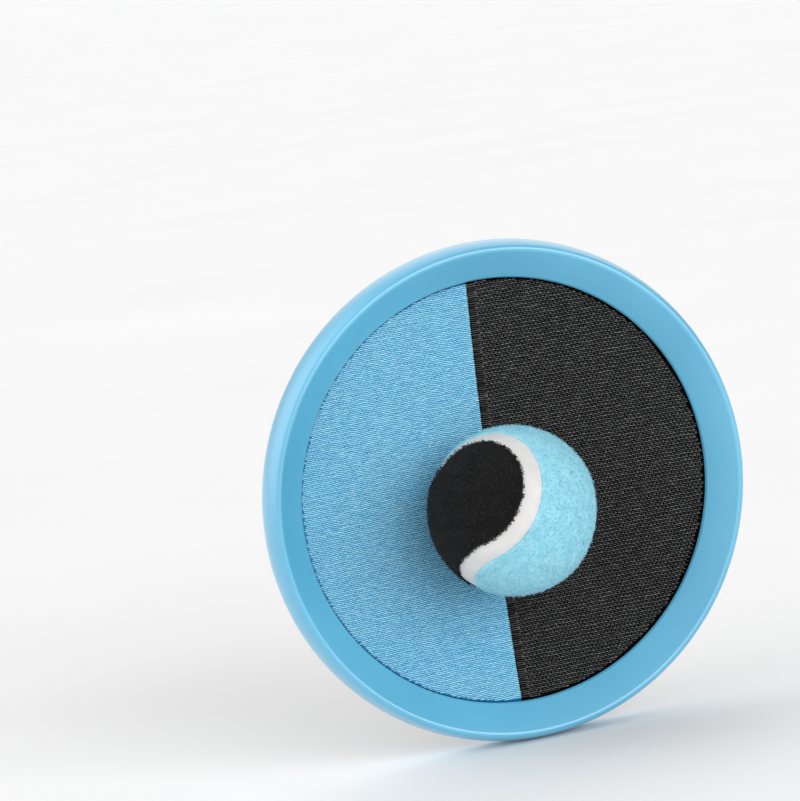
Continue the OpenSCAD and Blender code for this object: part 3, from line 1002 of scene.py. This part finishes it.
def tape_points(path, ways, offset, row_pitch, pitch, half_at, skip):
    """Staggered points on one side of a tape, with their outward and lengthwise directions."""
    travelled = lengths(path)
    points, ups, alongs = [], [], []
    rows = int((travelled[-1] - skip) / row_pitch)
    for i in range(rows):
        distance = skip + (i + 0.5) * row_pitch
        k = next(n for n in range(len(travelled) - 1) if travelled[n + 1] >= distance)
        part = (distance - travelled[k]) / (travelled[k + 1] - travelled[k])
        place = Vector(path[k]).lerp(Vector(path[k + 1]), part)
        way = ways[k].lerp(ways[k + 1], part).normalized()
        half = half_at(travelled[-1] - distance) - EDGE_FREE
        for j in range(int(2 * TAPE_HALF / pitch)):
            z = -TAPE_HALF + (j + 0.5 + 0.5 * (i % 2)) * pitch
            if abs(z) > half:
                continue
            points.append((place.x + way.x * offset, place.y + way.y * offset, STRAP_Z + z))
            ups.append((math.copysign(1, offset) * way.x, math.copysign(1, offset) * way.y, 0.0))
            alongs.append((way.y, -way.x, 0.0))
    return points, ups, alongs


def tape_loops(name, spots, sizes, seed, finish, bend):
    """Loops that stand on a tape, baked in place as one piece."""
    bend_at(stand_loops(name, spots, sizes, seed, finish), *bend)


tape_yarn = yarn_finish("tape_yarn", [(0.0, (8, 8, 9)), (0.75, (22, 22, 24)),
                                      (1.0, (52, 52, 55))], 0.6, 0.2, 0.1)
nap_spots = tape_points(loop_path, loop_ways, LOOP_CLOTH[1], row_pitch=0.6 * MM, pitch=0.72 * MM,
                        half_at=lambda left: TAPE_HALF, skip=NAP_START)
tape_loops("loop_tape_pile", nap_spots, NAP, 41, tape_yarn, LOOP_BEND)

# %% Hook tape with its round tip
HOOK_END_X = 13.8 * MM
HOOK_CLOTH = (-0.3 * MM, 0.6 * MM)
HOOK_BEND = (HOOK_HINGE, HOOK_ARC, "hook_tape")
TIP_ROUND = 9.0 * MM
TIP_CUT = 0.02 * MM


def tip_half(left):
    """Half the tape's width this far from the tip."""
    if left >= TIP_ROUND:
        return TAPE_HALF
    return TAPE_HALF - TIP_ROUND + math.sqrt(TIP_ROUND ** 2 - (TIP_ROUND - left) ** 2)


hook_path = tape_path(HOOK_HINGE, HOOK_ARC, HOOK_END_X, TAPE_STEPS)
hook_run = lengths(hook_path)
hook_halves = [tip_half(hook_run[-1] - distance) for distance in hook_run]
hook_halves[-1] = tip_half(TIP_CUT)
hook_ways = across_path(hook_path, strap_middle)
hook_sections = tape_sections(hook_path, hook_ways, *HOOK_CLOTH, hook_halves)
hook_tape = show("hook_tape", skin("hook_tape", hook_sections, closed=False), hook_cloth)
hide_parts("hook_tab")
bend_at(hook_tape, *HOOK_BEND)

# %% [markdown]
# ### Knots and hooks
# The back of the hook tape is dotted: each hook's yarn is tied in there and shows as a pale knot.
# Under the tape stand the hooks themselves, open crooks that are seen when the tape is peeled.
# Both are loops from the same tree, low and closed for a knot, tall and cut open for a hook.

# %% Knots on the back, hooks beneath
KNOT_SEAT = 0.57 * MM
KNOT = {"Length": 0.7 * MM, "Height": 0.2 * MM, "Yarn": 0.12 * MM, "Lean": 0.0,
        "Lean spread": math.radians(5), "Twist": math.radians(12), "Jitter": 0.05 * MM}
knot_yarn = yarn_finish("knot_yarn", [(0.0, (38, 38, 40)), (0.6, (74, 74, 76)),
                                      (1.0, (120, 119, 117))], 0.4, 0.1, 0.1)
knot_spots = tape_points(hook_path, hook_ways, KNOT_SEAT, row_pitch=1.0 * MM, pitch=1.35 * MM,
                         half_at=tip_half, skip=ROOT_DEPTH)
tape_loops("hook_tape_knots", knot_spots, KNOT, 51, knot_yarn, HOOK_BEND)

CROOK_SEAT = -0.28 * MM
CROOK_START = 6.0 * MM
CROOK = {"Length": 0.6 * MM, "Height": 0.85 * MM, "Yarn": 0.1 * MM, "Arc": math.radians(140), "Arc points": 6,
         "Lean": 0.0, "Twist": math.radians(10), "Jitter": 0.04 * MM}
hook_nylon = yarn_finish("hook_nylon", [(0.0, (14, 14, 15)), (1.0, (44, 44, 46))], 0.3, 0.0, 0.1)
crook_spots = tape_points(hook_path, hook_ways, CROOK_SEAT, row_pitch=1.3 * MM, pitch=1.35 * MM,
                          half_at=tip_half, skip=CROOK_START)
tape_loops("hook_tape_hooks", crook_spots, CROOK, 61, hook_nylon, HOOK_BEND)

# %% [markdown]
# ### The run inside
# Between the slots the tapes are one piece, lying flat between the cover and the board.
# Only its turned-up ends can be seen, through the slots.

# %% Inner run
INNER_T = 1.2 * MM
RUN_HALF = TAPE_HALF - 0.2 * MM
RUN_GAP = 0.3 * MM
RUN_ROUND = 1.2 * MM
RUN_END = 0.4 * MM
RUN_STOPS = range(45, -46, -10)
run_depth = COVER_T + RUN_GAP + INNER_T / 2
above_run = Vector((0.0, 20.0 * MM))


def turned_up(hinge):
    """The end that reaches up into a slot, and the corner below it."""
    return [(hinge.x, hinge.y - RUN_END, 0), (hinge.x, cover_y(hinge.x, 0.0, run_depth), RUN_ROUND)]


inner_corners = turned_up(LOOP_HINGE)
inner_corners += [(x * MM, cover_y(x * MM, 0.0, run_depth), 0) for x in RUN_STOPS]
inner_corners += reversed(turned_up(HOOK_HINGE))
inner_path = [tuple(point) for point in rounded(inner_corners)]
inner_ways = across_path(inner_path, above_run)
inner_sections = tape_sections(inner_path, inner_ways, -INNER_T / 2, INNER_T / 2,
                               [RUN_HALF] * len(inner_path))
inner_mesh = skin("inner_run", inner_sections, closed=False)
inner_run = show("inner_run", inner_mesh, loop_cloth, "paddle")
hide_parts("strap_inner_run")

# %% [markdown]
# ## The ball
# Two felt panels shaped like the halves of a tennis ball's cover meet at one winding rubber seam.
# The seam's middle line is made of four circle arcs round four leaning axes,
# so the angle to the nearest axis tells on which side of the seam any direction lies.

# %% Which side of the seam
core_low, core_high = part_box("ball_core")
BALL_C = (core_low + core_high) / 2
BALL_R = 31.5 * MM
CORE_R = 29.1 * MM
BALL_TURN = Euler([math.radians(a) for a in (125.3, -21.9, -150.2)]).to_matrix()
SEAM_LEAN = math.radians(9.2)
SEAM_REACH = 3.4 * MM
SEAM_HALF = math.asin(SEAM_REACH / BALL_R)
LOBE = math.acos(-math.sin(SEAM_LEAN) ** 2) / 2


def seam_side(way):
    """Angle from the seam's middle line: above zero on the black side, below zero on the blue side."""
    lean, cos_lean = math.sin(SEAM_LEAN), math.cos(SEAM_LEAN)
    if way.z > 0:
        return math.acos(min(1.0, abs(way.y) * cos_lean + way.z * lean)) - LOBE
    return LOBE - math.acos(min(1.0, abs(way.x) * cos_lean - way.z * lean))


print("ball centre", [round(v, 4) for v in BALL_C])
print("seam half width", round(math.degrees(SEAM_HALF), 2), "degrees")

# %% [markdown]
# A felt panel starts as a fine ball of triangles. Points just across the border slide onto it,
# faces beyond it are deleted, and the border is rolled down and given a skirt to the core.
# The skirt is built edge by edge, so its faces, and later the fibres on them, come out the same every time.

# %% Felt panels
FELT_R = BALL_R - 0.3 * MM
FELT_ROLL = 0.9 * MM
FELT_EDGE_R = BALL_R - 0.5 * MM
FELT_SHARP = 70
BLACK_TRIM = 0.45 * MM
BLUE_TRIM = 0.1 * MM


def to_border(shape, reach):
    """Slides points just outside a panel onto its border; returns every point's distance inside it."""
    depth = {vert: reach(vert.co.normalized()) for vert in shape.verts}
    moved = {}
    for vert in shape.verts:
        inner = [edge.other_vert(vert) for edge in vert.link_edges if depth[edge.other_vert(vert)] > 0]
        if depth[vert] > 0 or not inner:
            continue
        best = max(inner, key=lambda other: depth[other])
        moved[vert] = vert.co.lerp(best.co, -depth[vert] / (depth[best] - depth[vert])).normalized()
    for vert, place in moved.items():
        vert.co = place
        depth[vert] = 0.0
    return depth


def felt_panel(name, sign, trim):
    """One felt panel, cut back from the seam by the trim."""
    shape = bmesh.new()
    bmesh.ops.create_icosphere(shape, subdivisions=7, radius=1.0)
    depth = to_border(shape, lambda way: sign * seam_side(way) - SEAM_HALF - trim / BALL_R)
    outside = [face for face in shape.faces if any(depth[vert] < 0 for vert in face.verts)]
    bmesh.ops.delete(shape, geom=outside, context="FACES")
    for vert in shape.verts:
        inside = max(0.0, 1 - depth[vert] * BALL_R / FELT_ROLL)
        fall = (FELT_R - FELT_EDGE_R) * (1 - math.sqrt(max(0.0, 1 - inside ** 2)))
        vert.co = vert.co.normalized() * (FELT_R - fall)
    border = [edge for edge in shape.edges if edge.is_boundary]
    foot = {}
    for edge in border:
        for vert in edge.verts:
            if vert not in foot:
                foot[vert] = shape.verts.new(vert.co.normalized() * CORE_R)
    for edge in border:
        first, last = edge.verts
        shape.faces.new((first, last, foot[last], foot[first]))
    bmesh.ops.transform(shape, matrix=Matrix.Translation(BALL_C) @ BALL_TURN.to_4x4(), verts=shape.verts)
    return finish_mesh(name, shape, FELT_SHARP)


black_felt_mesh = felt_panel("black_felt", 1, BLACK_TRIM)
blue_felt_mesh = felt_panel("blue_felt", -1, BLUE_TRIM)

# %% [markdown]
# Felt has no clear surface: short fibres lie in all directions, some standing off it.
# Under them the cloth is mottled, because the pressed wool is thicker in some places than in others.

# %% Felt finish
def felt_finish(name, dark, light, sheen):
    """Pressed wool: soft lumps and fine strands share its colour and its relief."""
    material, tree, shader, place = new_finish(name, roughness=0.95, specular=0.12, sheen=sheen,
                                               sheen_roughness=0.5)
    lumps = noise(tree, place, 240.0, 4.0, 0.6)
    strands = noise(tree, place, 1500.0, 4.0, 0.7)
    mottle = maths(tree, "ADD", maths(tree, "MULTIPLY", lumps, 0.6), maths(tree, "MULTIPLY", strands, 0.4))
    feed(tree, shader, shade=ramp(tree, mottle, [(0.32, dark), (0.68, light)]),
         normal=bump(tree, mottle, 0.7, 0.5 * MM))
    return material


black_felt_finish = felt_finish("black_felt", (8, 8, 9), (26, 26, 27), 0.03)
blue_felt_finish = felt_finish("blue_felt", (122, 190, 211), (160, 216, 230), 0.1)
black_felt = show("black_felt", black_felt_mesh, black_felt_finish, "ball")
blue_felt = show("blue_felt", blue_felt_mesh, blue_felt_finish, "ball")
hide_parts("ball_felt_black")
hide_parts("ball_felt_blue")

# %% [markdown]
# ## Fuzz
# Loose fibres are what the eye reads as felt, above all where the black panel frays over the white seam.
# A second node tree scatters points on a panel, bends one short fibre and lays a copy on each point,
# spun to any side and tipped over by a random angle.

# %% Fibre tree
BOW_HEIGHT = 0.7
TIP_SIDEWAYS = 0.45
TIP_HEIGHT = 0.8


def fibre_tree():
    """Lays one bent fibre on every scattered point of a panel."""
    tree, given, result = tree_with("felt_fibres", {
        "Density": "Float", "Length": "Float", "Thickness": "Float", "Least tip": "Float",
        "Most tip": "Float", "Size spread": "Float", "Seed": "Int", "Finish": "Material"})
    scatter = tree.nodes.new("GeometryNodeDistributePointsOnFaces")
    tree.links.new(given["Geometry"], scatter.inputs["Mesh"])
    tree.links.new(given["Density"], scatter.inputs["Density"])
    tree.links.new(given["Seed"], scatter.inputs["Seed"])
    tall = wire(tree, "ShaderNodeCombineXYZ", {"Z": maths(tree, "MULTIPLY", given["Length"], BOW_HEIGHT)})
    tip = wire(tree, "ShaderNodeCombineXYZ", {"X": maths(tree, "MULTIPLY", given["Length"], TIP_SIDEWAYS),
                                              "Z": maths(tree, "MULTIPLY", given["Length"], TIP_HEIGHT)})
    bow = wire(tree, "GeometryNodeCurveQuadraticBezier",
               {"Resolution": 2, "Start": (0.0, 0.0, 0.0), "Middle": tall, "End": tip})
    strand = wire(tree, "GeometryNodeCurvePrimitiveCircle", {"Resolution": 3, "Radius": given["Thickness"]})
    fibre = wire(tree, "GeometryNodeCurveToMesh", {"Curve": bow, "Profile Curve": strand})
    spin = random_between(tree, 0.0, 2 * math.pi, next_seed(tree, given["Seed"], 1))
    spun = rotated(tree, scatter.outputs["Rotation"], {"Z": spin})
    lean = random_between(tree, given["Least tip"], given["Most tip"], next_seed(tree, given["Seed"], 2))
    plant(tree, given, result, scatter.outputs["Points"], fibre, rotated(tree, spun, {"X": lean}))
    return tree


felt_fibres = fibre_tree()
print(felt_fibres.name, "has", len(felt_fibres.nodes), "nodes")

# %% Fuzz on both panels
PER_MM2 = 1e6
FUZZ = {"Density": 1.95 * PER_MM2, "Length": 0.88 * MM, "Thickness": 0.055 * MM,
        "Least tip": math.radians(30), "Most tip": math.radians(84), "Size spread": 0.35}
FRAY = {"Density": 5.0 * PER_MM2, "Length": 0.9 * MM, "Thickness": 0.1 * MM,
        "Least tip": math.radians(10), "Most tip": math.radians(60), "Size spread": 0.6}
LEVEL = 0.05 * MM
black_fuzz_finish = yarn_finish("black_fuzz", [(0.0, (6, 6, 7)), (0.6, (25, 25, 26)),
                                               (1.0, (62, 62, 61))], 0.85, 0.03, 0.1)
blue_fuzz_finish = yarn_finish("blue_fuzz", [(0.0, (120, 190, 214)), (0.5, (154, 215, 231)),
                                             (1.0, (188, 233, 243))], 0.85, 0.1, 0.15)


def rolled_edge(mesh):
    """A copy of only the faces along a panel's border, above the seam."""
    strip = bmesh.new()
    strip.from_mesh(mesh)
    heights = {vert: (vert.co - BALL_C).length for vert in strip.verts}
    others = [face for face in strip.faces if min(heights[vert] for vert in face.verts) > FELT_R - LEVEL]
    bmesh.ops.delete(strip, geom=others, context="FACES")
    edge_mesh = bpy.data.meshes.new(mesh.name + "_edge")
    strip.to_mesh(edge_mesh)
    strip.free()
    return edge_mesh


def fuzz(name, base, sizes, finish, seed):
    """Grows fibres on a base and shows them as one piece of the ball."""
    mesh = grown(name, base, felt_fibres, {**sizes, "Seed": seed, "Finish": finish})
    return show(name, mesh, finish, "ball")


fuzz("black_fuzz", black_felt_mesh.copy(), FUZZ, black_fuzz_finish, 71)
fuzz("blue_fuzz", blue_felt_mesh.copy(), FUZZ, blue_fuzz_finish, 72)
fuzz("black_fray", rolled_edge(black_felt_mesh), FRAY, black_fuzz_finish, 73)

# %% [markdown]
# ## The seam
# The seam is a smooth white rubber cord between the panels. Its section, a low crown with sides that dive
# under the felt, is carried round the four arcs, tilted to stay square to the ball.

# %% Seam band
SEAM_R = BALL_R - 0.7 * MM
SEAM_CROWN = 0.12 * MM
SEAM_TUCK = 0.6 * MM
SEAM_STEPS = 72
CROWN_STEPS = 6


def seam_line():
    """The seam's middle line as unit directions, once round the ball."""
    ways = []
    lean, cos_lean = math.sin(SEAM_LEAN), math.cos(SEAM_LEAN)
    axes = [Vector((0, cos_lean, lean)), Vector((-cos_lean, 0, -lean)), Vector((0, -cos_lean, lean)),
            Vector((cos_lean, 0, -lean))]
    ends = [Vector((s, t, 0)).normalized() for s, t in ((1, 1), (-1, 1), (-1, -1), (1, -1))]
    for axis, start, end in zip(axes, ends, ends[1:] + ends[:1]):
        pole = Vector((0, 0, 1 if axis.z > 0 else -1))
        ahead = (pole - axis * pole.dot(axis)).normalized()
        side = axis.cross(ahead)
        first = math.atan2(start.dot(side), start.dot(ahead))
        last = math.atan2(end.dot(side), end.dot(ahead))
        for k in range(SEAM_STEPS):
            t = first + (last - first) * k / SEAM_STEPS
            ways.append(axis * math.cos(LOBE) + (ahead * math.cos(t) + side * math.sin(t)) * math.sin(LOBE))
    return ways


def seam_sections():
    """The seam's section at every point of its line, wide enough to tuck under both panels."""
    ways = seam_line()
    half = SEAM_HALF + SEAM_TUCK / BALL_R
    crown = [k / CROWN_STEPS for k in range(-CROWN_STEPS, CROWN_STEPS + 1)]
    outline = [(t, SEAM_R - SEAM_CROWN * t * t) for t in crown] + [(t, CORE_R) for t in (1, 0, -1)]
    sections = []
    for i, way in enumerate(ways):
        run = (ways[(i + 1) % len(ways)] - ways[i - 1]).normalized()
        side = way.cross(run)
        ring = [(way * math.cos(half * t) + side * math.sin(half * t)) * radius for t, radius in outline]
        sections.append([BALL_C + BALL_TURN @ point for point in ring])
    return sections


seam_white, tree, shader, place = new_finish("seam_white", specular=0.35)
marks = noise(tree, place, 160.0, 2.0)
feed(tree, shader, shade=ramp(tree, marks, [(0.3, (200, 199, 198)), (0.7, (210, 209, 208))]),
     roughness=spread(tree, marks, 0.42, 0.55), normal=bump(tree, noise(tree, place, 900.0), 0.03, 0.1 * MM))
seam = show("seam_band", skin("seam_band", seam_sections(), closed=True), seam_white, "ball")
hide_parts("ball_seam")

# %% Rubber core
dress_node("ball_core", speckled("core_rubber", 700.0, 3.0, (52, 52, 54), (72, 72, 74), 0.2 * MM))

# %% [markdown]
# ## Floor and light
# The paddle stands on a wide pale floor. Far away the floor rises a little, like a studio sweep,
# so nothing else is seen behind the paddle. The colours are shown with the plain Standard transform,
# because the usual film-like one would turn the white floor grey and wash out the blue.

# %% Floor
FLOOR_RINGS = [(6.0, 0.0), (20.0, 0.15), (40.0, 0.7), (80.0, 3.0)]
FLOOR_SIDES = 96
FLOOR_GAP = 0.2 * MM
floor_z = rim_low.z - FLOOR_GAP
floor_shape = bmesh.new()
floor_turns = [2 * math.pi * k / FLOOR_SIDES for k in range(FLOOR_SIDES)]
floor_rings = []
for radius, rise in FLOOR_RINGS:
    ring = [(radius * math.cos(t), radius * math.sin(t), floor_z + rise) for t in floor_turns]
    floor_rings.append([floor_shape.verts.new(point) for point in ring])
floor_shape.faces.new(floor_rings[0])
for inner, outer in zip(floor_rings, floor_rings[1:]):
    for k in range(FLOOR_SIDES):
        n = (k + 1) % FLOOR_SIDES
        floor_shape.faces.new((inner[k], outer[k], outer[n], inner[n]))
floor_mesh = finish_mesh("pale_floor", floor_shape)
if floor_mesh.polygons[0].normal.z < 0:
    floor_mesh.flip_normals()
floor = bpy.data.objects.new("pale_floor", floor_mesh)
bpy.context.collection.objects.link(floor)
pale, tree, shader, place = new_finish("pale_floor", roughness=0.9, specular=0.05)
cloud = noise(tree, place, 3.0)
feed(tree, shader, shade=ramp(tree, cloud, [(0.3, (235, 235, 235)), (0.7, (238, 238, 238))]))
floor_mesh.materials.append(pale)

# %% [markdown]
# An even sky fills all shadows. Two soft glows are painted into it: a wide one on the left, which draws
# the pale band along the rim's outer wall, and one high behind, which brings out the cover's grain.
# A dark card on the right does the opposite: the rim's low left slope mirrors it and looks deeper in colour.
# Glows in the sky light the floor evenly, where lamps near by would leave bright patches on it.
# A broad sun from the right gives the ball its soft shade on the cloth.

# %% Sky with two soft glows and a dark card
SKY = 0.6
GLOWS = [((-0.9, 0.12, 0.4), 56, 1.7), ((0.35, 0.7, 0.62), 40, 0.9), ((0.9, 0.0, 0.4), 60, -0.4)]
world = bpy.data.worlds.new("pale_sky")
world.use_nodes = True
bpy.context.scene.world = world
bpy.context.scene.view_settings.view_transform = "Standard"
sky = world.node_tree
way = wire(sky, "ShaderNodeTexCoord", out="Generated")
strength = SKY
for direction, reach, power in GLOWS:
    facing = wire(sky, "ShaderNodeVectorMath", {0: way, 1: Vector(direction).normalized()}, out="Value",
                  operation="DOT_PRODUCT")
    edge = math.cos(math.radians(reach))
    glow = wire(sky, "ShaderNodeMapRange",
                {"Value": facing, "From Min": edge, "From Max": 1.0, "To Max": power},
                interpolation_type="SMOOTHSTEP")
    strength = maths(sky, "ADD", glow, strength)
sky.links.new(strength, sky.nodes["Background"].inputs["Strength"])
sky.nodes["Background"].inputs["Color"].default_value = (1.0, 1.0, 1.0, 1.0)

# %% Broad sun
SUN_POWER = 2.9
SUN_WIDTH = math.radians(60)
SUN_WAY = Vector((-0.32, 0.92, -0.16))
sun_data = bpy.data.lights.new("broad_sun", "SUN")
sun_data.energy = SUN_POWER
sun_data.angle = SUN_WIDTH
sun = bpy.data.objects.new("broad_sun", sun_data)
bpy.context.collection.objects.link(sun)
sun.rotation_euler = SUN_WAY.to_track_quat("-Z", "Y").to_euler()
